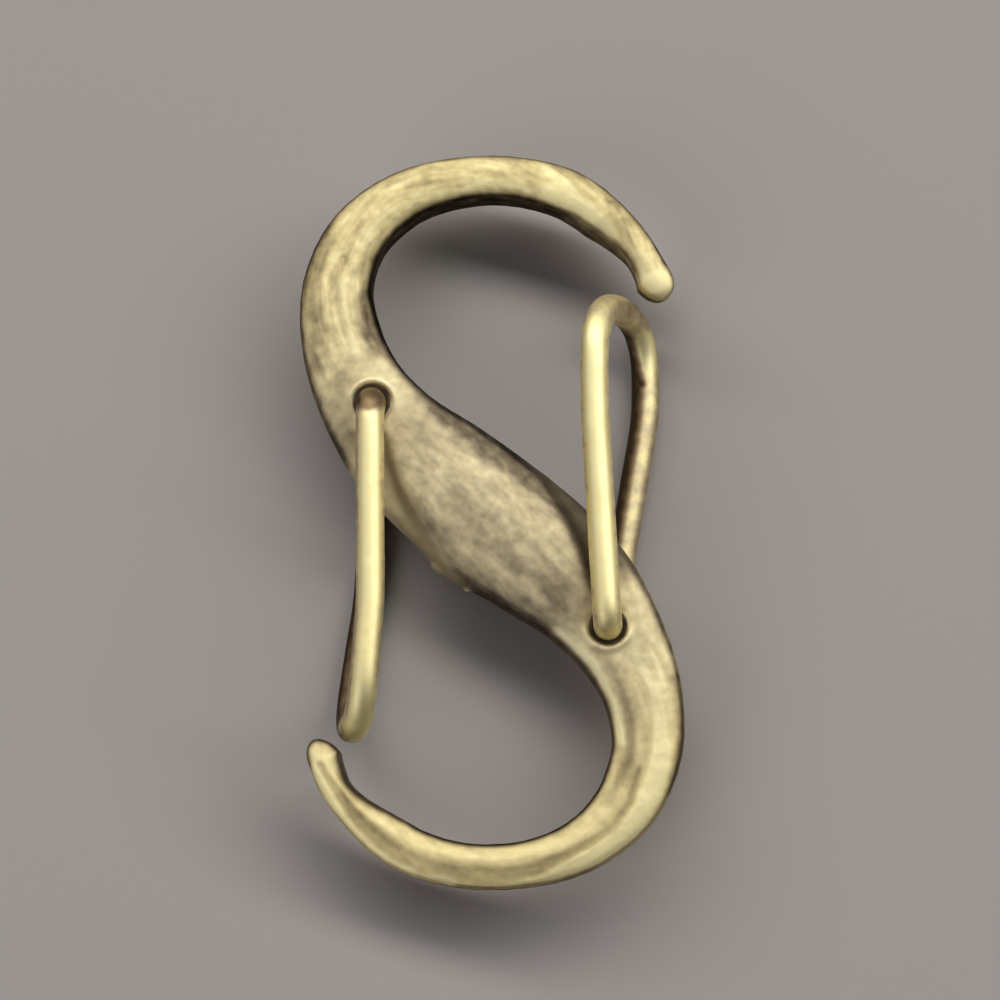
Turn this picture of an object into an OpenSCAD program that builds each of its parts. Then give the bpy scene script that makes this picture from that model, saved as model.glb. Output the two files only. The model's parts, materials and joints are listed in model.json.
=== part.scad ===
// S-hook clasp: a cast S-shaped body with a sprung wire gate across the mouth of each hook.
// Millimetres. The S lies flat with its length along Y and its faces square to Z. The origin is
// under its centre, on the surface where the clasp lies on the back legs of its two gates.

/* [Body] */
// Length of the S over both crowns
body_length = 35; // [34:0.5:38]
// Thickness of the hooks from front to back
hook_depth = 2.9; // [2.7:0.1:3.1]
// Thickness of the domed middle from front to back
dome_depth = 4.3; // [4.1:0.1:4.5]
// Depth of the shallow channel along each face of the hooks
channel_depth = 0.14; // [0:0.02:0.2]
// Radius of the seat for a gate's nose, inside each tip
seat_r = 1.0; // [0.9:0.05:1.1]

/* [Swing relief] */
// Thickness of the body at the pivot holes
root_depth = 3.3; // [3.2:0.05:3.4]
// Angle of the shoulder that stops an opened gate, in degrees from the length of the clasp
shoulder_angle = 26; // [24:1:28]
// Slope of the ledge beside each pivot, from the pivot down to the edge of the body, in degrees
ledge_slope = 7; // [6:0.5:8]
// Height of the sloping wall between a ledge and the dome
wall_height = 0.45; // [0.3:0.05:0.6]
// Width of that wall seen from the front
wall_run = 0.45; // [0.2:0.05:0.6]

/* [Gates] */
// Thickness of the gate wire
wire_d = 1.4; // [1.2:0.05:1.4]
// Gap between a gate's leg and the face of the body beside its pivot
leg_gap = 0.42; // [0.38:0.01:0.46]
// Gap between a swinging leg and the part of the dome that it crosses
swing_gap = 0.12; // [0.08:0.02:0.2]
// Running clearance of a pin in its hole, on the radius
pin_clearance = 0.05; // [0.02:0.01:0.08]
// Radius of the wire's centre line where a leg turns into its pin
pin_bend = 0.76; // [0.72:0.02:0.8]
// Radius of the wire's centre line at the two corners of a gate's nose
nose_bend = 2.4; // [2:0.1:2.6]

/* [Hidden] */

// Sections of one half of the S, from the tip of the upper hook to the centre, at a length of 35.
// swell is 0 where the body is a hook and 1 in the dome, channel is its share of channel_depth.
// x, y, width, swell, channel
HALF_S = [
    [7.85, 11.30, 1.75, 0.00, 0.0],
    [6.50, 13.35, 2.00, 0.00, 1.0],
    [4.30, 15.40, 2.15, 0.00, 1.0],
    [1.60, 16.35, 2.05, 0.00, 1.0],
    [-1.30, 16.40, 2.10, 0.00, 1.0],
    [-4.10, 15.60, 2.40, 0.00, 1.0],
    [-6.35, 13.75, 2.80, 0.00, 1.0],
    [-7.40, 11.15, 3.15, 0.05, 1.0],
    [-7.15, 8.35, 3.70, 0.15, 0.8],
    [-6.05, 5.85, 4.50, 0.30, 0.3],
    [-4.35, 3.55, 5.50, 0.60, 0.0],
    [-2.25, 1.75, 6.20, 0.90, 0.0],
    [0, 0, 6.40, 1.00, 0.0],
];
WIDTH = 2;
SWELL = 3;
CHANNEL = 4;

// Foot of the wall between a ledge and the dome, seen with the pivot at 0, 0 and the nose upwards:
// out is away from the eye, along is towards the nose.
// out, along
LEDGE = [
    [-0.50, 1.45],
    [-0.65, 2.85],
    [-0.95, 4.02],
    [-1.55, 5.21],
    [-2.27, 6.39],
    [-3.22, 7.79],
    [-3.65, 8.65],
];

// Corners of each gate's wire, seen with its pivot at 0, 0 and its nose upwards: out is away from
// the eye, along is towards the nose, side is 1 for the front leg and -1 for the back leg.
// out, along, side, bend
UPPER_WIRE = [
    [0, 0, 1, pin_bend],
    [-0.55, 10.0, 1, 10],
    [-0.57, 15.35, 1, nose_bend],
    [1.87, 15.35, -1, nose_bend],
    [1.90, 10.8, -1, 6],
    [0, 0, -1, pin_bend],
];
LOWER_WIRE = [
    [0, 0, 1, pin_bend],
    [-0.10, 9.6, 1, 10],
    [0.35, 15.35, 1, nose_bend],
    [1.50, 15.35, -1, nose_bend],
    [0.50, 8.9, -1, 10],
    [0, 0, -1, pin_bend],
];

size = body_length / 35;
pivot = [5.55, -5.35] * size;
seat = [6.0, 11.3] * size;
wire_r = wire_d / 2;
bore_r = wire_r + pin_clearance;
facet_inset = 0.02;
leg_z = root_depth / 2 + leg_gap + wire_r;
relief_z = leg_z - wire_r - swing_gap;
rest_z = leg_z + wire_r - facet_inset;
mouth_r = bore_r + 0.2;
mouth_depth = 0.3;
pin_end = 0.15;
wall_heading = 30;
wire_sides = 12;
wire_arc_steps = 7;
section_sides = 32;
section_steps = 4;
hook_squareness = 5;
dome_squareness = 2.6;
cap_stretch = 0.55;
cap_steps = 4;
far = 12;
$fn = 48;

function unit(v) = v / norm(v);
function mix(a, b, t) = a + (b - a) * t;

// A smooth curve through b and c, whose neighbours are a and d.
function smooth(a, b, c, d, t) =
    (2 * b + (c - a) * t + (2 * a - 5 * b + 4 * c - d) * t * t + (3 * b - a - 3 * c + d) * t * t * t) / 2;

// The table of one half, and the whole S with the other half turned round its centre.
function scaled(s) = [s.x * size, s.y * size, s[WIDTH] * size, s[SWELL], s[CHANNEL]];
function turned(s) = [-s.x, -s.y, s[WIDTH], s[SWELL], s[CHANNEL]];
function whole_s() =
    let (half = [for (s = HALF_S) scaled(s)])
    concat(half, [for (i = [len(half) - 2:-1:0]) turned(half[i])]);

// Sections along the whole S, a few between each two rows of the table.
function sections() =
    let (s = whole_s(), last = len(s) - 1)
    concat(
        [for (i = [0:last - 1], j = [0:section_steps - 1])
            let (before = i > 0 ? s[i - 1] : 2 * s[0] - s[1])
            let (after = i < last - 1 ? s[i + 2] : 2 * s[last] - s[last - 1])
            smooth(before, s[i], s[i + 1], after, j / section_steps)],
        [s[last]]
    );
function heading(path, i) =
    let (a = path[max(i - 1, 0)], b = path[min(i + 1, len(path) - 1)])
    unit([b.x - a.x, b.y - a.y]);

// One coordinate of a rounded box of unit size, at angle cosine or sine c.
function rounded(c, squareness) = sign(c) * pow(abs(c), 2 / squareness);

// One section of the body, square to its heading. narrow and thin shrink it towards a tip.
function section_ring(s, heading, shift, narrow, thin) =
    let (squareness = mix(hook_squareness, dome_squareness, s[SWELL]))
    let (half_width = s[WIDTH] / 2 * narrow)
    let (half_depth = mix(hook_depth, dome_depth, s[SWELL]) / 2 * thin)
    [for (k = [0:section_sides - 1])
        let (angle = 360 * k / section_sides)
        let (across = rounded(cos(angle), squareness))
        let (channel = s[CHANNEL] * channel_depth * max(0, 1 - pow(across / 0.65, 2)))
        let (height = rounded(sin(angle), squareness) * half_depth - sign(sin(angle)) * channel)
        [
            s.x + heading.x * shift - heading.y * across * half_width,
            s.y + heading.y * shift + heading.x * across * half_width,
            height,
        ]];

// Rings that round off a tip. way is -1 before the first section and 1 after the last.
function cap_rings(s, heading, way) =
    [for (k = [1:cap_steps])
        let (reach = sin(90 * k / (cap_steps + 0.5)))
        section_ring(
            s, heading, way * reach * cap_stretch * s[WIDTH],
            sqrt(1 - pow(reach, 2)), pow(1 - pow(reach, 4), 1 / 4)
        )];

// A closed tube through rings of equal length.
module skin(rings) {
    sides = len(rings[0]);
    last = len(rings) - 1;
    points = [for (ring = rings, p = ring) p];
    walls = [for (i = [0:last - 1], k = [0:sides - 1])
        let (a = i * sides + k, b = i * sides + (k + 1) % sides)
        each [[a, b + sides, b], [a, a + sides, b + sides]]];
    ends = [[for (k = [0:sides - 1]) k], [for (k = [sides - 1:-1:0]) last * sides + k]];
    polyhedron(points, concat(walls, ends));
}

module s_shape() {
    path = sections();
    last = len(path) - 1;
    start = cap_rings(path[0], heading(path, 0), -1);
    rings = [for (i = [0:last]) section_ring(path[i], heading(path, i), 0, 1, 1)];
    finish = cap_rings(path[last], heading(path, last), 1);
    skin(concat([for (i = [len(start) - 1:-1:0]) start[i]], rings, finish));
}

// The part of a face that a leg crosses between its closed place and the shoulder.
module swing_relief() {
    stop = [-sin(shoulder_angle), cos(shoulder_angle)];
    beside = [-cos(shoulder_angle), -sin(shoulder_angle)] * (wire_r + swing_gap);
    translate([0, 0, relief_z])
        linear_extrude(dome_depth)
            polygon([beside, beside + stop * far, [far, far], [mouth_r, 0]]);
}

// The ledge under a closed leg. It falls away from the pivot, and a sloping wall joins it to the dome.
module ledge() {
    start = LEDGE[0] * size;
    foot = [for (p = LEDGE) p * size - [0, start.y]];
    outline = concat(foot, [[far, foot[len(foot) - 1].y], [far, 0]]);
    lean = [-cos(wall_heading), -sin(wall_heading)] * wall_run;
    translate([0, start.y, root_depth / 2])
        rotate([-ledge_slope, 0, 0])
            skin([
                [for (p = outline) [p.x + lean.x, p.y + lean.y, dome_depth]],
                [for (p = outline) [p.x + lean.x, p.y + lean.y, wall_height]],
                [for (p = outline) [p.x, p.y, 0]],
            ]);
}

module pivot_hole() {
    cylinder(r = bore_r, h = 2 * far, center = true);
    for (side = [0, 1])
        mirror([0, 0, side])
            translate([0, 0, root_depth / 2 - mouth_depth])
                cylinder(r1 = bore_r, r2 = 2 * mouth_r - bore_r, h = 2 * mouth_depth);
}

module s_body() {
    color([0.56, 0.50, 0.34])
        translate([0, 0, rest_z])
            difference() {
                s_shape();
                for (turn = [0, 180])
                    rotate([0, 0, turn]) {
                        translate(pivot) {
                            pivot_hole();
                            for (side = [0, 1])
                                mirror([0, 0, side]) {
                                    swing_relief();
                                    ledge();
                                }
                        }
                        translate(seat)
                            cylinder(r = seat_r, h = 2 * far, center = true);
                    }
            }
}

// Points of the bend that rounds off the corner b between a and c.
function bend_points(a, b, c, radius) =
    let (u = unit(a - b), v = unit(c - b))
    let (half = acos(u * v) / 2, sweep = 180 - 2 * half)
    let (centre = b + unit(u + v) * radius / sin(half))
    let (from = b + u * radius / tan(half) - centre, to = b + v * radius / tan(half) - centre)
    let (steps = max(2, ceil(wire_arc_steps * sweep / 90)))
    [for (k = [0:steps])
        centre + (from * sin(sweep * (1 - k / steps)) + to * sin(sweep * k / steps)) / sin(sweep)];

// Rings of a wire along points, each turned as little as possible from the one before it.
function wire_rings(points) =
    let (last = len(points) - 1)
    let (ways = [for (i = [0:last]) unit(points[min(i + 1, last)] - points[max(i - 1, 0)])])
    let (sides = [for (i = 0, s = [1, 0, 0]; i <= last; i = i + 1,
        s = i <= last ? unit(s - ways[i] * (s * ways[i])) : s) s])
    [for (i = [0:last]) [for (k = [0:wire_sides - 1])
        let (angle = 360 * k / wire_sides)
        points[i] + (wire_r - facet_inset) * (sides[i] * cos(angle) + cross(ways[i], sides[i]) * sin(angle))]];

module gate(wire) {
    corners = [for (w = wire) [w[0], w[1], w[2] * leg_z]];
    last = len(corners) - 1;
    pin_top = leg_z - pin_bend;
    inner = pin_top - wire_r;
    route = concat([[0, 0, inner]], corners, [[0, 0, -inner]]);
    points = concat(
        [route[0]],
        [for (i = [0:last]) each bend_points(route[i], route[i + 1], route[i + 2], wire[i][3])],
        [route[last + 2]]
    );
    skin(wire_rings(points));
    for (side = [0, 1])
        mirror([0, 0, side])
            translate([0, 0, pin_end])
                cylinder(r = wire_r, h = pin_top - pin_end);
}

module upper_gate() {
    color([0.72, 0.67, 0.48])
        translate([pivot.x, pivot.y, rest_z])
            gate(UPPER_WIRE);
}

module lower_gate() {
    color([0.72, 0.67, 0.48])
        translate([-pivot.x, -pivot.y, rest_z])
            rotate([0, 0, 180])
                gate(LOWER_WIRE);
}

s_body();
upper_gate();
lower_gate();
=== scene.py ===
# The looks of an s-hook clasp: a tumbled antique-brass casting with two sprung wire gates.
import json
import math

import bpy
import numpy as np
from mathutils import Matrix, Vector


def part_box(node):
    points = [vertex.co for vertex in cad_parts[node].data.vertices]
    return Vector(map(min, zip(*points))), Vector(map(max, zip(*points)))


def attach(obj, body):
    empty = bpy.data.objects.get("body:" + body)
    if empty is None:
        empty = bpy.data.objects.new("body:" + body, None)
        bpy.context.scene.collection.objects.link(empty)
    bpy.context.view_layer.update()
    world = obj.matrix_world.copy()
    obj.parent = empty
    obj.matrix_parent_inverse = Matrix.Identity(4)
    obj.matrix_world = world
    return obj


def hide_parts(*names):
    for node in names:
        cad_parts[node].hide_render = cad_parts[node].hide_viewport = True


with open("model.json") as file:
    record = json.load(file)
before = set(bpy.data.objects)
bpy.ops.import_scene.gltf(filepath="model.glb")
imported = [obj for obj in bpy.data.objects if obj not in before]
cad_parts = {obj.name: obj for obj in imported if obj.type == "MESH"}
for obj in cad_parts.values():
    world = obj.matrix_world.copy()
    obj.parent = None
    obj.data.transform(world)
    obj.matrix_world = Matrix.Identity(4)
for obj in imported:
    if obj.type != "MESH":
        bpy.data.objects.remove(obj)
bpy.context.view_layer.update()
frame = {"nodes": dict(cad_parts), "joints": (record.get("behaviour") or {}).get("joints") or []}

MM = 0.001
BODY_LOW, BODY_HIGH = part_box("s_body")
MIDDLE = (BODY_LOW.z + BODY_HIGH.z) / 2 / MM
PIVOTS = {joint["child"]: Vector(joint["pos_m"]) / MM for joint in frame["joints"]}

# The camera, as it was fitted to the outline in the photograph. It looks straight down but for a lean in
# degrees, from a distance in millimetres, and CENTRE_PIXEL is where it shows the clasp's centre.
CAMERA_LEAN_BACK = 8.7
CAMERA_LEAN_RIGHT = 2.4
CAMERA_DISTANCE = 142.6
FOCAL_PIXELS = 3004
IMAGE_PIXELS = 1000
CENTRE_PIXEL = (490.3, 518.1)
SENSOR = 36.0
SIGHT_BACK = math.tan(math.radians(CAMERA_LEAN_BACK))
SIGHT_RIGHT = math.tan(math.radians(CAMERA_LEAN_RIGHT))

# How fine the meshes are, in millimetres.
BODY_VOXEL = 0.107
WIRE_VOXEL = 0.08

# Sizes on the clasp that the frame doesn't state, in millimetres. The faces are measured from the middle.
# A pair says where something fades: the hooks' outer wall by its radius, and a ledge by the way along it.
HOOK_FACE = 1.45
ROOT_FACE = 1.65
HOOK_CENTRE = (-1.6, 10.4)
HOOK_R = 6.0
HOOK_OUTER_R = (6.3, 6.9)
DOME_REACH = 7.9
LEDGE_END = (9.5, 8.0)
WIRE_R = 0.7

# A pivot hole, once it is closed round its pin: a shallow dish with a raised lip round it.
PIN_HOLE_R = 0.725
DISH_DEPTH = 0.12
LIP_R = 1.1
LIP_WIDTH = 0.15
LIP_HEIGHT = 0.1

# How many times as long as wide the streaks are along the hooks and along the dome.
HOOK_STREAK_LENGTH = 5
DOME_STREAK_LENGTH = 2.5

# Ways on the clasp seen from above: across and along the dome, uphill from its lower left side to its
# upper right one, and out of and along its lower left side where that bulges.
DOME_ACROSS = (0.71, 0.7)
DOME_ALONG = (0.71, -0.7)
DOME_UPHILL = np.array([0.8, 0.6, 0])
BULGE_WAY = np.array([-0.58, -0.82])
BULGE_SIDE = np.array([0.82, -0.58])

# Where the upper hook's tip starts, and the ways along and across it. The lower one is turned by half.
TIP = np.array([7.85, 11.3])
TIP_WAY = np.array([0.55, -0.835])
TIP_SIDE = np.array([0.835, 0.55])

# What differs at the upper tip, 1, and the lower, -1: where the trim of its inner corner starts, how much
# is trimmed, how much wider and longer the tip is and how far its end slants, in millimetres.
TIPS = (
    (1, -3.6, 0.32, 0.0, 0.0, 0.22),
    (-1, -5.0, 0.52, -0.15, -0.1, 0.0),
)

# Where the upper hook is a little slimmer, in pixels, and by how much, in millimetres.
SLIM_PIXEL = (600, 222)
SLIM_AMOUNT = 0.24

# Where the dome bulges at its flash, in pixels, and by how much, in millimetres.
BULGE_PIXEL = (448, 579)
BULGE_AMOUNT = 0.34

# Where the spines' inner edges bulge: pixel, the spine's middle and the shift to +X, in millimetres.
SPINE_BULGES = (
    (378, 315, -5.9, 0.25),
    (613, 778, 5.9, -0.2),
)

# Where the outer rim of the lower hook is still flat, in pixels. Along it the rim also gets a painted
# highlight.
FLAT_RIM = ((315, 770), (322, 789), (331, 805), (347, 827), (368, 848), (389, 862), (417, 874), (450, 882))

# The channel that the lower hook still shows: its middle in pixels, half its width and its depth in
# millimetres.
CHANNEL = (
    (321, 765), (335, 785), (352, 809), (366, 825), (384, 842), (402, 855), (423, 865), (447, 872),
    (500, 875), (535, 868), (560, 856), (583, 845), (610, 828), (628, 802), (637, 770),
)
CHANNEL_HALF = (0.2, 0.25, 0.32, 0.38, 0.42, 0.42, 0.42, 0.42, 0.4, 0.34, 0.27, 0.22, 0.2, 0.18, 0.15)
CHANNEL_DEPTH = 0.045

# Stains, rubbed places, painted highlights and painted shade on the upper face: their path in pixels, width
# in millimetres and change, which is above 0 where the metal is paler. First the upper hook, then the dome,
# then the lower hook.
STAINS_AND_PAINTED_LIGHT = (
    (((390, 205), (440, 182), (500, 178), (545, 188)), 0.6, 0.04),
    # Paler toward the upper tip: painted highlights along its rims and at its end.
    (((556, 185), (597, 213), (630, 258)), 0.6, 0.24),
    (((578, 214), (600, 235), (621, 256)), 0.16, 0.26),
    (((638, 268), (644, 288), (654, 302)), 0.16, 0.2),
    (((658, 288),), 0.9, 0.55),
    # Darker along both edges of the left spine: painted shade, partly blackening.
    (((322, 215), (308, 290), (316, 360)), 0.5, -0.24),
    (((366, 250), (360, 300), (366, 335)), 0.35, -0.15),
    (((368, 290), (373, 345)), 0.5, -0.3),
    (((345, 370),), 0.8, -0.09),
    # Painted shade left of the lower gate's leg.
    (((338, 385), (343, 415), (351, 448)), 0.7, -0.22),
    (((420, 430),), 1.3, -0.1),
    (((462, 512), (500, 548), (520, 568)), 0.45, -0.08),
    (((465, 490), (540, 575)), 1.0, -0.05),
    (((458, 545), (485, 566), (508, 580), (540, 602)), 0.35, 0.14),
    # Painted shade beside the upper gate's leg.
    (((583, 500), (590, 600)), 0.4, -0.12),
    (((545, 585), (575, 615)), 0.9, -0.1),
    (((560, 600),), 1.0, -0.14),
    # A painted highlight along the rim of the lower eye, partly rubbed metal.
    (((556, 632), (592, 664), (613, 702), (620, 742)), 0.2, 0.26),
    (((597, 650), (616, 675), (630, 715), (628, 760), (608, 800)), 0.35, -0.19),
    (((614, 690), (630, 730), (627, 775)), 0.55, -0.13),
    (((642, 660), (656, 700), (658, 760), (645, 800)), 0.3, 0.08),
    (((655, 690), (660, 760), (640, 815)), 0.5, 0.04),
    (((658, 750), (650, 790), (630, 830), (600, 858)), 0.5, 0.15),
    # Darker along the outer edge of the right spine: painted shade, partly blackening.
    (((672, 680), (679, 730), (671, 790)), 0.3, -0.2),
    # Painted highlights along the outer rim of the lower hook.
    (((450, 882), (490, 886), (540, 881), (590, 861), (632, 830)), 0.3, 0.18),
    (FLAT_RIM, 0.28, 0.4),
)

# Small marks on the casting: pixel, height above the middle, radius and depth in millimetres. Flash
# that the parting line left stands out, so its depth is negative.
MARKS = (
    (435, 566, 0.0, 0.22, -0.16),
    (439, 573, 0.0, 0.22, -0.18),
    (466, 591, 0.0, 0.14, -0.16),
    (341, 250, 1.4, 0.13, 0.14),
    (341, 255, 1.4, 0.13, 0.14),
    (648, 267, 1.4, 0.14, 0.05),
    (612, 190, 1.3, 0.18, 0.12),
    (373, 795, 0.6, 0.13, -0.1),
)

# The height above the middle of flash given at height 0, and how far it reaches up and down from there,
# in millimetres.
FLASH_HEIGHT = 0.2
FLASH_HALF = 0.25

# Scuffs, a nick, painted highlights and painted shade on the wires: pixel, height above the middle, radius
# in millimetres and change, which is above 0 where the wire is darker.
WIRE_MARKS_AND_PAINTED_LIGHT = (
    (601, 455, 2.6, 0.22, 0.22),
    (605, 474, 2.6, 0.2, 0.22),
    (643, 382, -2.0, 0.17, 0.5),
    # Painted highlights on the upper gate's back leg.
    (650, 345, -1.8, 0.7, -0.3),
    (651, 362, -1.8, 0.5, -0.2),
    (373, 566, 2.6, 0.2, 0.15),
    # Darker low on the lower gate's front leg, with a dark line between its two highlights: painted shade.
    (367, 645, 2.6, 1.3, 0.07),
    (364, 672, 2.6, 0.35, 0.1),
    (360, 692, 2.6, 0.35, 0.1),
    # Paler at the lower gate's nose: painted light.
    (358, 724, 1.6, 0.7, -0.14),
)

# The tone painted on the ledge beside each pivot: the two ledges are alike, and the upper is painted dark as
# shade, the lower pale as if lit.
LEDGE_LIT_AND_SHADED_TONES = {"upper_gate": 0.37, "lower_gate": 0.66}


# Small tools

def activate(piece):
    bpy.ops.object.select_all(action="DESELECT")
    piece.select_set(True)
    bpy.context.view_layer.objects.active = piece


def modify(piece, kind, **settings):
    """Adds a modifier with its settings and applies it."""
    activate(piece)
    modifier = piece.modifiers.new(kind.lower(), kind)
    for name, value in settings.items():
        setattr(modifier, name, value)
    bpy.ops.object.modifier_apply(modifier=modifier.name)


def scale_mesh(piece, factor):
    activate(piece)
    bpy.ops.transform.resize(value=(factor,) * 3, center_override=(0, 0, 0))
    bpy.ops.object.transform_apply(location=False, rotation=False, scale=True)


def copy_in_millimetres(node, name):
    """A merged copy of a node's mesh, a thousand times as large, to work on in millimetres."""
    piece = frame["nodes"][node].copy()
    piece.data = piece.data.copy()
    piece.name = piece.data.name = name
    piece.parent = None
    for key in list(piece.keys()):
        del piece[key]
    bpy.context.scene.collection.objects.link(piece)
    piece.data.materials.clear()
    scale_mesh(piece, 1 / MM)
    bpy.ops.object.mode_set(mode="EDIT")
    bpy.ops.mesh.select_all(action="SELECT")
    bpy.ops.mesh.remove_doubles(threshold=0.001)
    bpy.ops.object.mode_set(mode="OBJECT")
    return piece


def back_to_metres(piece):
    scale_mesh(piece, MM)
    bpy.ops.object.shade_smooth()


def points_of(piece):
    points = np.empty(len(piece.data.vertices) * 3)
    piece.data.vertices.foreach_get("co", points)
    return points.reshape(-1, 3)


def normals_of(piece):
    normals = np.empty(len(piece.data.vertices) * 3)
    piece.data.vertex_normals.foreach_get("vector", normals)
    return normals.reshape(-1, 3)


def set_points(piece, points):
    piece.data.vertices.foreach_set("co", points.ravel())
    piece.data.update()


def blur(piece, values, reach, weight=1.0):
    """Values at the vertices, averaged with their neighbours until they are blurred over a reach."""
    edges = np.empty(len(piece.data.edges) * 2, dtype=np.int64)
    piece.data.edges.foreach_get("vertices", edges)
    a, b = edges.reshape(-1, 2).T
    share = 1 / (1 + np.bincount(edges, minlength=len(values)))[:, None]
    weight = np.reshape(weight, (-1, 1))
    points = points_of(piece)
    rounds = round(2.5 * (reach / np.linalg.norm(points[a] - points[b], axis=1).mean()) ** 2)
    blurred = values.reshape(len(values), -1)
    for _ in range(max(rounds, 1)):
        total = np.stack([
            np.bincount(a, column[b], len(values)) + np.bincount(b, column[a], len(values))
            for column in blurred.T
        ], axis=1)
        blurred = blurred + weight * ((blurred + total) * share - blurred)
    return blurred.reshape(values.shape)


def ramp(values, at_zero, at_one):
    """0 at one value and beyond it, 1 at the other, and smooth between them."""
    t = np.clip((values - at_zero) / (at_one - at_zero), 0, 1)
    return t * t * (3 - 2 * t)


def hill(distance, radius):
    """1 at no distance, falling off round it like a soft hill."""
    return np.exp(-(distance / radius) ** 2)


def keep(piece, name, values):
    """Stores a value or a vector at each vertex, for a material to read."""
    kind, field = ("FLOAT", "value") if values.ndim == 1 else ("FLOAT_VECTOR", "vector")
    layer = piece.data.attributes.new(name, kind, "POINT")
    layer.data.foreach_set(field, values.astype(np.float32).ravel())


def lumps(piece, name, size, strength):
    """Pushes the surface in and out by soft noise: size is the width of a lump."""
    texture = bpy.data.textures.new(name, "CLOUDS")
    texture.noise_scale = size
    texture.noise_depth = 2
    modify(piece, "DISPLACE", texture=texture, strength=strength, mid_level=0.5, texture_coords="LOCAL")


# Places on the clasp, in millimetres

def from_pixel(x, y, height):
    """The point, at a height above the body's middle, that shows at a pixel."""
    scale = CAMERA_DISTANCE / FOCAL_PIXELS * (1 - height / CAMERA_DISTANCE)
    right = (x - CENTRE_PIXEL[0]) * scale + height * SIGHT_RIGHT
    up = (CENTRE_PIXEL[1] - y) * scale - height * SIGHT_BACK
    return np.array((right, up, MIDDLE + height))


def from_mark(points, x, y, height):
    """Distance of each point from a mark, and for flash, which is given at height 0, from the line of
    sight through it."""
    to = points - from_pixel(x, y, height)
    if height == 0:
        to[:, 0] -= to[:, 2] * SIGHT_RIGHT
        to[:, 1] += to[:, 2] * SIGHT_BACK
        to[:, 2] = np.maximum(np.abs(to[:, 2] - FLASH_HEIGHT) - FLASH_HALF, 0)
    return np.linalg.norm(to, axis=1)


def stroke(points, path, width, sharpness=2):
    """1 on the upper face along a path of pixels, fading to 0 at a width on both sides. The width is one
    for the whole path or one for each of its stops."""
    nearest = np.full(len(points), 99.0)
    widths = np.broadcast_to(width, len(path))
    stops = [(*from_pixel(x, y, HOOK_FACE)[:2], half) for (x, y), half in zip(path, widths)]
    for start, end in zip(stops, stops[1:] or stops):
        start, change = np.array(start), np.subtract(end, start)
        to = points[:, :2] - start[:2]
        share = np.clip(to @ change[:2] / max(change[:2] @ change[:2], 1e-9), 0, 1)
        reach = np.linalg.norm(to - share[:, None] * change[:2], axis=1)
        nearest = np.minimum(nearest, reach / (start[2] + share * change[2]))
    return np.exp(-nearest ** sharpness) * ramp(points[:, 2] - MIDDLE, 0.2, 0.8)


def lower_channel(points):
    """1 in the channel that the lower hook shows, which fades round the bend to the right."""
    return stroke(points, CHANNEL, CHANNEL_HALF, 5) * (1 - 0.4 * ramp(points[:, 0], 2.0, 4.0))


def from_middle(points):
    """Distance of each point from the middle of the clasp, seen from above."""
    return np.hypot(points[:, 0], points[:, 1])


def side_of(pivot):
    """1 for the upper gate's pivot, on the right, and -1 for the lower gate's."""
    return 1 if pivot.x > 0 else -1


def beside_pivot(points, pivot):
    """Each point seen with the pivot at 0, 0 and the gate's nose upwards: out of the eye, and along."""
    turn = side_of(pivot)
    return turn * (points[:, 0] - pivot.x), turn * (points[:, 1] - pivot.y)


def foot_of_ledge(along):
    """Where the ledge beside a pivot meets the dome, in the terms of beside_pivot."""
    return -(0.4 + 0.048 * along ** 2)


def in_hooks(points):
    """1 in the two hooks, and 0 in the dome and round the pivots."""
    reach = np.min([np.hypot(*beside_pivot(points, pivot)) for pivot in PIVOTS.values()], axis=0)
    return ramp(from_middle(points), 7.8, 9.8) * ramp(reach, 1.6, 3.2)


def beside_hook_centre(points):
    """Each point seen from the centre of its hook's bend, with the lower hook turned like the upper."""
    turn = np.where(points[:, 1] > 0, 1, -1)
    return turn * points[:, 0] - HOOK_CENTRE[0], turn * points[:, 1] - HOOK_CENTRE[1]


def round_the_hooks(points):
    """Each point in metres as distance from the centre of its hook, way along the hook and height, and
    on the dome as distance across and way along it. The way along is shrunk, so that a pattern is drawn
    out into streaks along the hook or the dome."""
    x, y = beside_hook_centre(points)
    angle = np.arctan2(x + y, y - x)
    flow = np.stack([np.hypot(x, y), angle * HOOK_R / HOOK_STREAK_LENGTH, points[:, 2]], axis=1)
    on_dome = points[:, :2] @ np.stack([DOME_ACROSS, np.divide(DOME_ALONG, DOME_STREAK_LENGTH)], axis=1)
    dome = from_middle(points) < DOME_REACH
    flow[dome, :2] = on_dome[dome]
    return flow * MM


# Materials

def from_hex(colour):
    """A linear colour from an sRGB hex value."""
    parts = [int(colour[i:i + 2], 16) / 255 for i in (1, 3, 5)]
    linear = [p / 12.92 if p <= 0.04045 else ((p + 0.055) / 1.055) ** 2.4 for p in parts]
    return (*linear, 1.0)


def add(tree, kind, settings=None, links=None):
    """Adds a node. settings are for the node or its sockets, links go from other nodes' outputs."""
    node = tree.nodes.new("ShaderNode" + kind)
    for name, value in (settings or {}).items():
        if isinstance(name, str) and hasattr(node, name):
            setattr(node, name, value)
        else:
            node.inputs[name].default_value = value
    for name, output in (links or {}).items():
        tree.links.new(output, node.inputs[name])
    return node


def attribute(tree, name, output="Fac"):
    """What keep stored at the vertices."""
    return add(tree, "Attribute", {"attribute_name": name}).outputs[output]


def noise(tree, place, size, detail, roughness):
    """Noise with lumps of a size in millimetres."""
    settings = {"Scale": 1 / (size * MM), "Detail": detail, "Roughness": roughness}
    return add(tree, "TexNoise", settings, {"Vector": place}).outputs["Fac"]


def calculate(tree, operation, *terms):
    """A Math node on numbers and other nodes' outputs."""
    numbers = {i: term for i, term in enumerate(terms) if isinstance(term, float)}
    outputs = {i: term for i, term in enumerate(terms) if i not in numbers}
    return add(tree, "Math", {"operation": operation, **numbers}, outputs).outputs[0]


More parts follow.
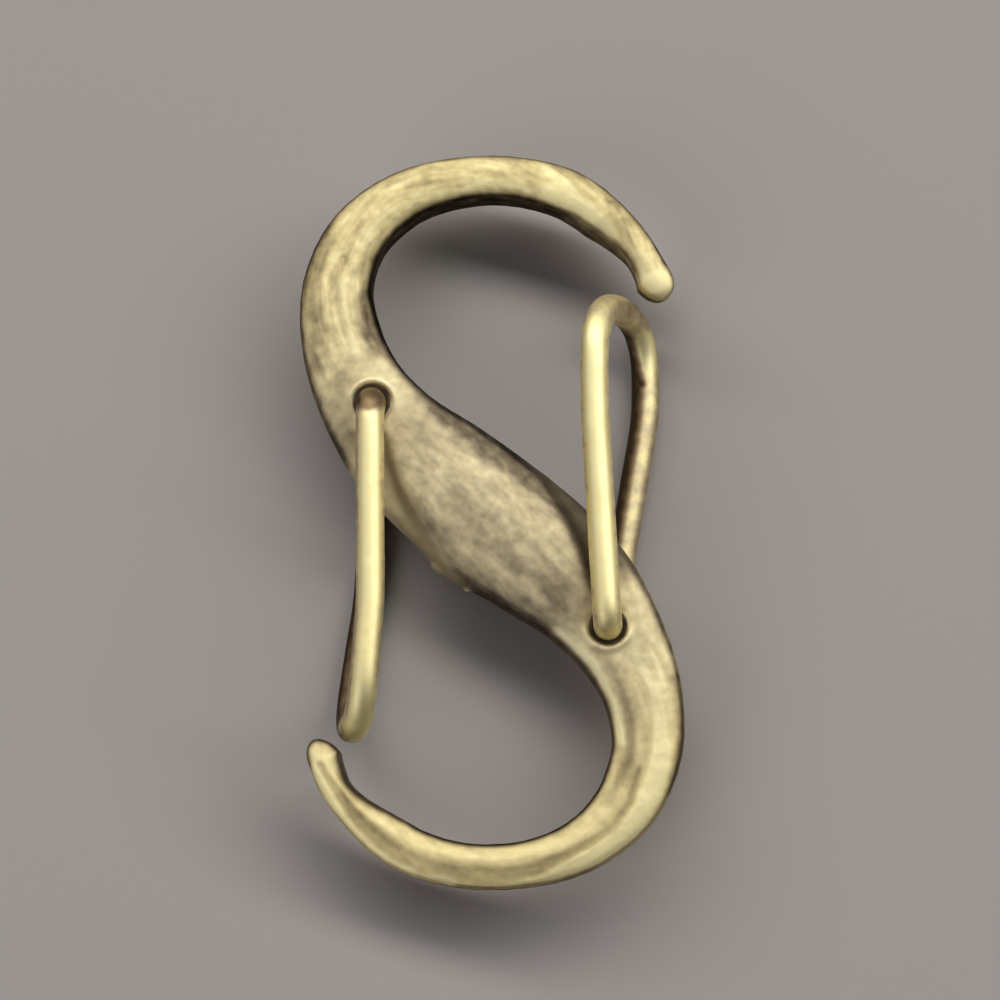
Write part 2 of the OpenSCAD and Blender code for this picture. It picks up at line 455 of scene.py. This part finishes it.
def roughness_from(tree, tone, tones, roughnesses):
    """A roughness that goes from one value to another while the tone does."""
    names = ("From Min", "From Max", "To Min", "To Max")
    settings = dict(zip(names, (*tones, *roughnesses)))
    return add(tree, "MapRange", settings, {"Value": tone}).outputs[0]


def colour_ramp(tree, factor, stops):
    node = add(tree, "ValToRGB", links={"Fac": factor})
    elements = node.color_ramp.elements
    while len(elements) < len(stops):
        elements.new(0.5)
    for element, (place, colour) in zip(elements, stops):
        element.position = place
        element.color = from_hex(colour)
    return node.outputs["Color"]


def new_material(name):
    material = bpy.data.materials.new(name)
    material.use_nodes = True
    material.node_tree.nodes.clear()
    return material, material.node_tree


def finish_material(tree, settings, links):
    shader = add(tree, "BsdfPrincipled", settings, links)
    add(tree, "OutputMaterial", links={"Surface": shader.outputs[0]})


def antique_casting():
    """Tumbled zinc casting, brass plated, blackened and rubbed back: satin and pale brass where it was
    rubbed, olive to brown in its hollows and down its walls, and finely mottled by the tumbling stones. Its
    tone also carries painted highlights and painted shade, and the walls' darkness is partly painted shade."""
    material, tree = new_material("antique_brass_casting")
    place = add(tree, "TexCoord").outputs["Object"]
    blotches = noise(tree, place, 1.1, 3.0, 0.55)
    stones = noise(tree, place, 0.5, 1.5, 0.5)
    streaks = noise(tree, attribute(tree, "round_the_hooks", "Vector"), 0.45, 2.0, 0.5)
    streaks = calculate(tree, "SUBTRACT", streaks, 0.5)
    streaks = calculate(tree, "MULTIPLY", streaks, attribute(tree, "streaked"))
    mottle = calculate(tree, "MULTIPLY_ADD", blotches, 0.6, -0.8)
    mottle = calculate(tree, "ADD", stones, mottle)
    tone = calculate(tree, "MULTIPLY_ADD", streaks, 0.55, attribute(tree, "tone_of_wear_and_light"))
    tone = calculate(tree, "MULTIPLY_ADD", mottle, attribute(tree, "mottled"), tone)
    grey = colour_ramp(tree, tone, [
        (0.0, "#1c1712"), (0.15, "#3f372d"), (0.3, "#685d4e"), (0.45, "#958973"), (0.6, "#bfb294"),
        (0.75, "#ddd1ae"), (0.9, "#f1e8c2"),
    ])
    brass = colour_ramp(tree, tone, [
        (0.0, "#1c1610"), (0.15, "#3f3528"), (0.3, "#685a44"), (0.45, "#958662"), (0.6, "#bfb082"),
        (0.75, "#dfd09d"), (0.9, "#f5eab8"),
    ])
    factor_grey_brass = {0: attribute(tree, "yellow"), 6: grey, 7: brass}
    colour = add(tree, "Mix", {"data_type": "RGBA"}, factor_grey_brass).outputs[2]
    roughness = roughness_from(tree, tone, (0.0, 1.0), (0.78, 0.7))
    dents = add(tree, "Bump", {"Strength": 0.6, "Distance": 0.03 * MM}, {"Height": stones}).outputs[0]
    finish_material(tree, {"Metallic": 1.0}, {"Base Color": colour, "Roughness": roughness, "Normal": dents})
    return material


def plated_wire():
    """Drawn steel wire with thin brass plating: satin and pale yellow, brown at the nose and near the pins,
    darker with painted shade on the back legs and the wire's sides, paler at painted highlights, with faint
    scuffs across it."""
    material, tree = new_material("brass_plated_wire")
    place = add(tree, "TexCoord").outputs["Object"]
    scuffs = noise(tree, place, 0.7, 4.0, 0.6)
    tone = calculate(tree, "MULTIPLY_ADD", scuffs, 0.35, attribute(tree, "tarnish_and_painted_light"))
    colour = colour_ramp(tree, tone, [
        (0.08, "#fff6be"), (0.24, "#fbecb0"), (0.34, "#dacaa3"), (0.5, "#a28c69"), (0.78, "#4c3c2a"),
    ])
    roughness = roughness_from(tree, tone, (0.08, 0.7), (0.56, 0.66))
    finish_material(tree, {"Metallic": 1.0}, {"Base Color": colour, "Roughness": roughness})
    return material


def pale_floor():
    """Matt painted board under the clasp, pale and plain."""
    material, tree = new_material("pale_board")
    finish_material(tree, {"Base Color": from_hex("#9c9691"), "Roughness": 0.9}, {})
    return material


# The casting's shape

def soften_middle(piece):
    """Rubs away the flat that the swinging legs need where it would show as a line on the dome, and
    softens the creases beside it."""
    points = points_of(piece)
    height = np.abs(points[:, 2] - MIDDLE)
    top = ramp(height, 1.3, 1.6) * ramp(np.abs(normals_of(piece)[:, 2]), 0.55, 0.8)
    weight = 0.7 * top * ramp(from_middle(points), 5.2, 4.4)
    for pivot in PIVOTS.values():
        out, along = beside_pivot(points, pivot)
        crease = hill(out - foot_of_ledge(along), 0.7) * ramp(along, 1.4, 2.4) * ramp(along, *LEDGE_END)
        weight = np.maximum(weight, 0.12 * crease * ramp(height, 0.8, 1.1))
    set_points(piece, blur(piece, points, 0.55, weight))


def round_rims(piece):
    """Rounds the rims of the hooks as tumbling does, less at the outer rim of the lower hook, and keeps
    their outline."""
    points = points_of(piece)
    hooks = in_hooks(points)
    flat = stroke(points, FLAT_RIM, 0.9) * ramp(points[:, 0], -1.0, -4.5)
    points[:, 2] = blur(piece, points[:, 2], 0.56, hooks * (1 - 0.85 * flat))
    set_points(piece, points)
    set_points(piece, points + normals_of(piece) * (0.02 * hooks)[:, None])


def shape_tips(points):
    """Trims the inner corner beside each seat and slims the tips. Returns 1 at the seats, 0 elsewhere."""
    seats = np.zeros(len(points))
    for turn, trim_start, trim, wider, longer, slant in TIPS:
        along = turn * (points[:, :2] @ TIP_WAY) - TIP @ TIP_WAY
        across = turn * (points[:, :2] @ TIP_SIDE) - TIP @ TIP_SIDE
        on_hook = ramp(across, -2.6, -2.0)
        inner = ramp(across, 0.3, -0.8) * on_hook
        corner = ramp(along, trim_start, -2.0) * ramp(along, -1.1, -1.65) * inner
        tip = ramp(along, -1.2, 0.5) * ramp(np.abs(across), 2.0, 1.5)
        aside = trim * corner + (wider * ramp(across, -0.2, 0.8) + 0.16 * inner) * tip
        onwards = (longer + slant * (points[:, 2] - MIDDLE) / HOOK_FACE) * tip
        points[:, :2] += turn * aside[:, None] * TIP_SIDE
        points[:, :2] += turn * onwards[:, None] * TIP_WAY
        seat = ramp(along, -4.0, -3.2) * ramp(along, -0.2, -0.7) * ramp(across, 0.2, -0.5)
        seats = np.maximum(seats, seat * on_hook)
    return seats


def slim_upper_hook(points):
    """Moves the upper hook's inner edge away from the hook's centre near its tip."""
    place = from_pixel(*SLIM_PIXEL, HOOK_FACE)[:2]
    away = place - np.array(HOOK_CENTRE)
    away /= np.linalg.norm(away)
    to = points[:, :2] - place
    inner = ramp(to @ away, 0.9, 0.0) * ramp(to @ away, -1.5, -1.0)
    near = hill(np.linalg.norm(to, axis=1), 2.2) * ramp(points[:, 2] - MIDDLE, -0.6, 1.1)
    points[:, :2] += (SLIM_AMOUNT * near * inner)[:, None] * away


def bulge_dome(points):
    """Moves the dome's lower left side outwards at its flash."""
    to = points[:, :2] - from_pixel(*BULGE_PIXEL, 0)[:2]
    out, along = to @ BULGE_WAY, to @ BULGE_SIDE
    bulge = BULGE_AMOUNT * hill(along, 1.5) * ramp(out, -1.8, 0.0) * ramp(out, 1.5, 0.9)
    points[:, :2] += bulge[:, None] * BULGE_WAY


def bulge_spines(points):
    """Moves the inner edge of each spine a little into its eye."""
    for x, y, spine_middle, shift in SPINE_BULGES:
        near = hill(np.linalg.norm(points[:, :2] - from_pixel(x, y, 0)[:2], axis=1), 2.4)
        inner = ramp(np.sign(shift) * (points[:, 0] - spine_middle), -1.4, 0.4)
        points[:, 0] += shift * near * inner


def warp(piece):
    """The casting isn't quite even: its edges wander, its tips are slimmer than the hooks and smooth at
    their seats, and the lower hook has a channel."""
    points = points_of(piece)
    seats = shape_tips(points)
    points[:, 2] -= CHANNEL_DEPTH * lower_channel(points)
    slim_upper_hook(points)
    bulge_dome(points)
    bulge_spines(points)
    set_points(piece, points)
    set_points(piece, blur(piece, points, 0.5, seats))


def shape_pivot_holes(piece):
    """Closes each pivot hole round its pin, with a shallow dish and a raised lip of metal that drilling
    left on the side away from the leg."""
    points = points_of(piece)
    side = np.sign(points[:, 2] - MIDDLE)
    height = np.abs(points[:, 2] - MIDDLE)
    for pivot in PIVOTS.values():
        out, along = beside_pivot(points, pivot)
        reach = np.maximum(np.hypot(out, along), 0.01)
        away = ramp(along / reach, 0.2, -0.5)
        mouth = ramp(reach, 0.6, 0.7) * ramp(reach, 1.2, 1.0) * ramp(height, 1.2, 1.3)
        closed = ROOT_FACE - DISH_DEPTH * away * ramp(reach, 1.0, 0.86)
        height += mouth * (np.maximum(height, closed) - height)
        height += LIP_HEIGHT * away * hill(reach - LIP_R, LIP_WIDTH) * ramp(height, 1.2, 1.5)
        inwards = mouth * np.clip(PIN_HOLE_R / reach - 1, -1, 0) * ramp(reach, 0.85, 0.79)
        points[:, 0] += inwards * (points[:, 0] - pivot.x)
        points[:, 1] += inwards * (points[:, 1] - pivot.y)
    points[:, 2] = MIDDLE + side * height
    set_points(piece, points)


def mark(piece):
    """Pits, nicks and bits of flash, which stand out and a little up."""
    points, normals = points_of(piece), normals_of(piece)
    for x, y, height, radius, depth in MARKS:
        amount = depth * hill(from_mark(points, x, y, height), radius)
        points -= normals * amount[:, None]
        points[:, 2] -= 0.6 * np.minimum(amount, 0)
    set_points(piece, points)


# The casting's wear, and the light and shade painted into its tone

def channels_of(piece):
    """1 along the shallow channels of the hooks, where blackening stays, and 0 elsewhere."""
    points, normals = points_of(piece), normals_of(piece)
    hollow = -np.einsum("ij,ij->i", points - blur(piece, points, 0.38), normals)
    return blur(piece, ramp(hollow, 0.0, 0.02) * in_hooks(points), 0.1)


def rubbed_back_and_painted_light(points, normals, channels, dome, lower_hook):
    """The tone of each point: how far tumbling rubbed it back, most on the faces, least in the hollows and
    on walls, and painted light and shade on faces, walls and slopes by which way they face.
    """
    facing = np.abs(normals[:, 2])
    uphill = normals @ DOME_UPHILL
    # Walls darker than faces: partly the blackening that stays on them, partly painted shade.
    tone_of_wear_and_light = 0.16 + 0.56 * ramp(facing, 0.25, 0.85)
    # Flat faces of the hooks paler, the lower hook's most: the extra on the lower hook is painted light.
    tone_of_wear_and_light += (0.06 + 0.05 * lower_hook) * (1 - dome) * ramp(facing, 0.6, 0.97) * (1 - channels)
    tone_of_wear_and_light -= 0.02 * channels + 0.2 * lower_channel(points)
    # Darker on the dome's upper right slope: partly blackening, partly painted shade.
    tone_of_wear_and_light -= 0.24 * dome * ramp(uphill, 0.15, 0.5) * ramp(facing, 0.3, 0.6)
    # Darker on the dome's lower left flank, which faces away from the main light: painted shade.
    tone_of_wear_and_light -= dome * (0.03 + 0.15 * ramp(uphill, -0.05, -0.5))
    # Paler on the dome's lower left walls: painted light.
    tone_of_wear_and_light += 0.26 * dome * ramp(uphill, -0.3, -0.7) * ramp(facing, 0.7, 0.35)
    wall = ramp(facing, 0.6, 0.2) * (1 - dome)
    outer = wall * ramp(np.hypot(*beside_hook_centre(points)), *HOOK_OUTER_R)
    # Outer walls of the hooks are paler, and walls facing +X low on the right paler still: painted light
    # there.
    right = ramp(normals[:, 0], 0.2, 0.7) * ramp(points[:, 0], 4.5, 6.0) * ramp(points[:, 1], 2.0, -1.0)
    tone_of_wear_and_light += 0.2 * outer * (1 + right)
    # Paler on the root's walls facing lower left: painted light.
    root = ramp(points[:, 0], 0.0, 3.0) * ramp(points[:, 1], 0.0, -3.0)
    tone_of_wear_and_light += 0.16 * wall * root * ramp(uphill, -0.3, -0.7)
    # Darker where the hooks face +Y, toward the main light: painted shade that dims their rim highlights.
    tone_of_wear_and_light -= 0.07 * (1 - dome) * ramp(normals[:, 1], 0.12, 0.4)
    return tone_of_wear_and_light


def stain_and_paint_light(points, tone_of_wear_and_light):
    """Adds the stains, the painted highlights and painted shade, and the marks: pits are dark, and flash is
    bare and pale, partly a painted highlight.
    """
    for path, width, change in STAINS_AND_PAINTED_LIGHT:
        tone_of_wear_and_light += change * stroke(points, path, width)
    # Pits are dark; the pale of the flash is bare metal and a painted highlight.
    for x, y, height, radius, depth in MARKS:
        tone_of_wear_and_light += (0.8 if depth < 0 else -0.2) * hill(from_mark(points, x, y, height), 1.3 * radius)


def wear_and_painted_light_beside_pivots(points, facing, tone_of_wear_and_light):
    """Adds the tone of each ledge, painted dark as shade on the upper and pale as if lit on the lower,
    painted shade in the crease beside it, partly blackening, a paler lip, rubbed and with a painted
    highlight, and painted shade in the dish round the pin. Returns how calm the surface is: 0.7 on the
    ledges, where there are fewer streaks and blotches, and 0 elsewhere."""
    calm = np.zeros(len(points))
    for node, pivot in PIVOTS.items():
        out, along = beside_pivot(points, pivot)
        reach = np.hypot(out, along)
        from_foot = out - foot_of_ledge(along)
        near = ramp(along, 0.9, 1.8) * ramp(along, *LEDGE_END)
        ledge = ramp(from_foot, -0.7, -0.1) * ramp(out, 1.6, 0.9) * near * ramp(along, 1.4, 3.6)
        # The two ledges are alike: the upper is painted dark as shade, the lower pale as if lit.
        tone_of_wear_and_light += ledge * (LEDGE_LIT_AND_SHADED_TONES[node] - tone_of_wear_and_light)
        # Painted shade in the crease at the foot of the dome, partly blackening.
        tone_of_wear_and_light += 0.5 * hill(from_foot + 0.15, 0.3) * near * (LEDGE_LIT_AND_SHADED_TONES[node] - 0.1 - tone_of_wear_and_light)
        # The lip paler: rubbed metal and a painted highlight.
        tone_of_wear_and_light += 0.12 * hill(reach - LIP_R, LIP_WIDTH) * ramp(along, 0.2, -0.4)
        # Painted shade in the dish round the pin, where the gap of the hole would be dark.
        tone_of_wear_and_light += ramp(reach, 0.96, 0.84) * ramp(facing, 0.3, 0.6) * (0.2 - tone_of_wear_and_light)
        calm = np.maximum(calm, 0.7 * ledge)
    return calm


def wear_and_painted_light_of_casting(piece, channels):
    """Stores each point's tone, from wear and from painted light and shade, and how yellow, streaked and
    mottled it is.
    """
    points = points_of(piece)
    normals = blur(piece, normals_of(piece), 0.1)
    dome = ramp(from_middle(points), 8.0, 4.5)
    lower_hook = ramp(points[:, 1], -7.0, -10.0)
    tone_of_wear_and_light = rubbed_back_and_painted_light(points, normals, channels, dome, lower_hook)
    stain_and_paint_light(points, tone_of_wear_and_light)
    calm = wear_and_painted_light_beside_pivots(points, np.abs(normals[:, 2]), tone_of_wear_and_light)
    keep(piece, "tone_of_wear_and_light", tone_of_wear_and_light)
    keep(piece, "yellow", 1 - 0.8 * ramp(from_middle(points), 17.0, 5.5))
    keep(piece, "streaked", (in_hooks(points) * (1 - 0.5 * lower_hook) + 0.65 * dome) * (1 - calm))
    keep(piece, "mottled", (0.27 - 0.12 * lower_hook - 0.04 * dome) * (1 - calm))
    keep(piece, "round_the_hooks", round_the_hooks(points))


def cast_body():
    piece = copy_in_millimetres("s_body", "cast_body")
    modify(piece, "REMESH", mode="VOXEL", voxel_size=BODY_VOXEL, adaptivity=0)
    modify(piece, "SMOOTH", factor=0.5, iterations=6)
    channels = channels_of(piece)
    soften_middle(piece)
    round_rims(piece)
    warp(piece)
    shape_pivot_holes(piece)
    mark(piece)
    wear_and_painted_light_of_casting(piece, channels)
    lumps(piece, "casting_waves", 1.6, 0.05)
    lumps(piece, "tumbling_dents", 0.45, 0.03)
    back_to_metres(piece)
    piece.data.materials.append(antique_casting())
    return piece


# The gates

def round_off(piece):
    """Makes a wire truly round: each point goes to the wire's radius from the centre line under it."""
    points, normals = points_of(piece), normals_of(piece)
    centres = blur(piece, points - WIRE_R * normals, 0.55)
    outwards = points - centres
    set_points(piece, centres + outwards * (WIRE_R / np.linalg.norm(outwards, axis=1))[:, None])


def tarnish_and_painted_light_of_wire(piece, node):
    """How dark each point is: darker at the nose and near the pins, with painted shade on the back leg, on
    its side inside the loop and on the wire's sides, and painted highlights and scuffs from the marks.
    """
    points, normals = points_of(piece), normals_of(piece)
    out, along = beside_pivot(points, PIVOTS[node])
    # The back leg lies under the front one: painted shade.
    back = ramp(MIDDLE - points[:, 2], -0.5, 1.5)
    pin_end = ramp(np.hypot(out, along), 1.0, 0.5)
    if node == "upper_gate":
        nose = ramp(along, 13.6, 14.9) * (1 - 0.8 * back)
        # The back leg's side inside the loop, shaded by the front leg: painted shade.
        inside = ramp(-side_of(PIVOTS[node]) * normals[:, 0], -0.1, 0.6)
        tarnish_and_painted_light = 0.06 * pin_end + 0.13 * nose + back * (0.14 + 0.45 * inside)
    else:
        # Darker near the pin, on the back leg and on sides facing -X: the back leg and the sides are painted
        # shade.
        tarnish_and_painted_light = 0.42 * pin_end + 0.5 * back + 0.14 * ramp(normals[:, 0], -0.6, -0.9)
    # The wire's sides darker, as the light falls off across it: painted shade.
    tarnish_and_painted_light += 0.1 * ramp(np.abs(normals[:, 0]), 0.6, 0.95)
    for x, y, height, radius, change in WIRE_MARKS_AND_PAINTED_LIGHT:
        distance = np.linalg.norm(points - from_pixel(x, y, height), axis=1)
        tarnish_and_painted_light += change * hill(distance, radius)
    return tarnish_and_painted_light


def gate_wire(node, name, material):
    piece = copy_in_millimetres(node, name)
    modify(piece, "REMESH", mode="VOXEL", voxel_size=WIRE_VOXEL, adaptivity=0)
    modify(piece, "SMOOTH", factor=0.5, iterations=10)
    round_off(piece)
    keep(piece, "tarnish_and_painted_light", tarnish_and_painted_light_of_wire(piece, node))
    lumps(piece, name + "_waves", 2.0, 0.03)
    back_to_metres(piece)
    piece.data.materials.append(material)
    return piece


# The stage

def make_camera():
    back = Vector((SIGHT_RIGHT, -SIGHT_BACK, 1)).normalized()
    right = Vector((0, 1, 0)).cross(back).normalized()
    turned = Matrix((right, back.cross(right), back)).transposed().to_4x4()
    aim = Vector((0, 0, MIDDLE * MM))
    data = bpy.data.cameras.new("camera")
    data.sensor_width = SENSOR
    data.lens = SENSOR * FOCAL_PIXELS / IMAGE_PIXELS
    data.shift_x = (IMAGE_PIXELS / 2 - CENTRE_PIXEL[0]) / IMAGE_PIXELS
    data.shift_y = (CENTRE_PIXEL[1] - IMAGE_PIXELS / 2) / IMAGE_PIXELS
    data.clip_start = 0.01
    camera = bpy.data.objects.new("camera", data)
    bpy.context.scene.collection.objects.link(camera)
    camera.matrix_world = Matrix.Translation(aim + back * CAMERA_DISTANCE * MM) @ turned
    bpy.context.scene.camera = camera


def panel_light(name, across, up, width, height, power, colour, distance=0.6):
    """A soft panel. across and up say where it hangs in degrees from overhead, to +X and to +Y."""
    way = Vector((math.tan(math.radians(across)), math.tan(math.radians(up)), 1)).normalized()
    data = bpy.data.lights.new(name, "AREA")
    data.shape = "RECTANGLE"
    data.size = width
    data.size_y = height
    data.energy = power
    data.color = from_hex(colour)[:3]
    light = bpy.data.objects.new(name, data)
    bpy.context.scene.collection.objects.link(light)
    light.location = way * distance
    light.rotation_euler = (-way).to_track_quat("-Z", "Y").to_euler()


def make_floor():
    bpy.ops.mesh.primitive_plane_add(size=1.6)
    floor = bpy.context.object
    floor.name = "floor"
    floor.data.materials.append(pale_floor())


def make_world():
    world = bpy.data.worlds.new("studio")
    bpy.context.scene.world = world
    world.use_nodes = True
    background = world.node_tree.nodes["Background"]
    background.inputs["Color"].default_value = from_hex("#e6e4e0")
    background.inputs["Strength"].default_value = 0.05
    bpy.context.scene.view_settings.view_transform = "Standard"


make_camera()
make_world()
make_floor()
panel_light("long_panel", across=13, up=35, width=2.2, height=0.14, power=8.8, colour="#ffffff")
panel_light("low_panel", across=-46, up=-40, width=0.4, height=0.4, power=0.9, colour="#f6f4ff")

body = cast_body()
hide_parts("s_body")
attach(body, "body")

wire = plated_wire()
for node in ("upper_gate", "lower_gate"):
    gate = gate_wire(node, node.replace("gate", "wire"), wire)
    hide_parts(node)
    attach(gate, node)
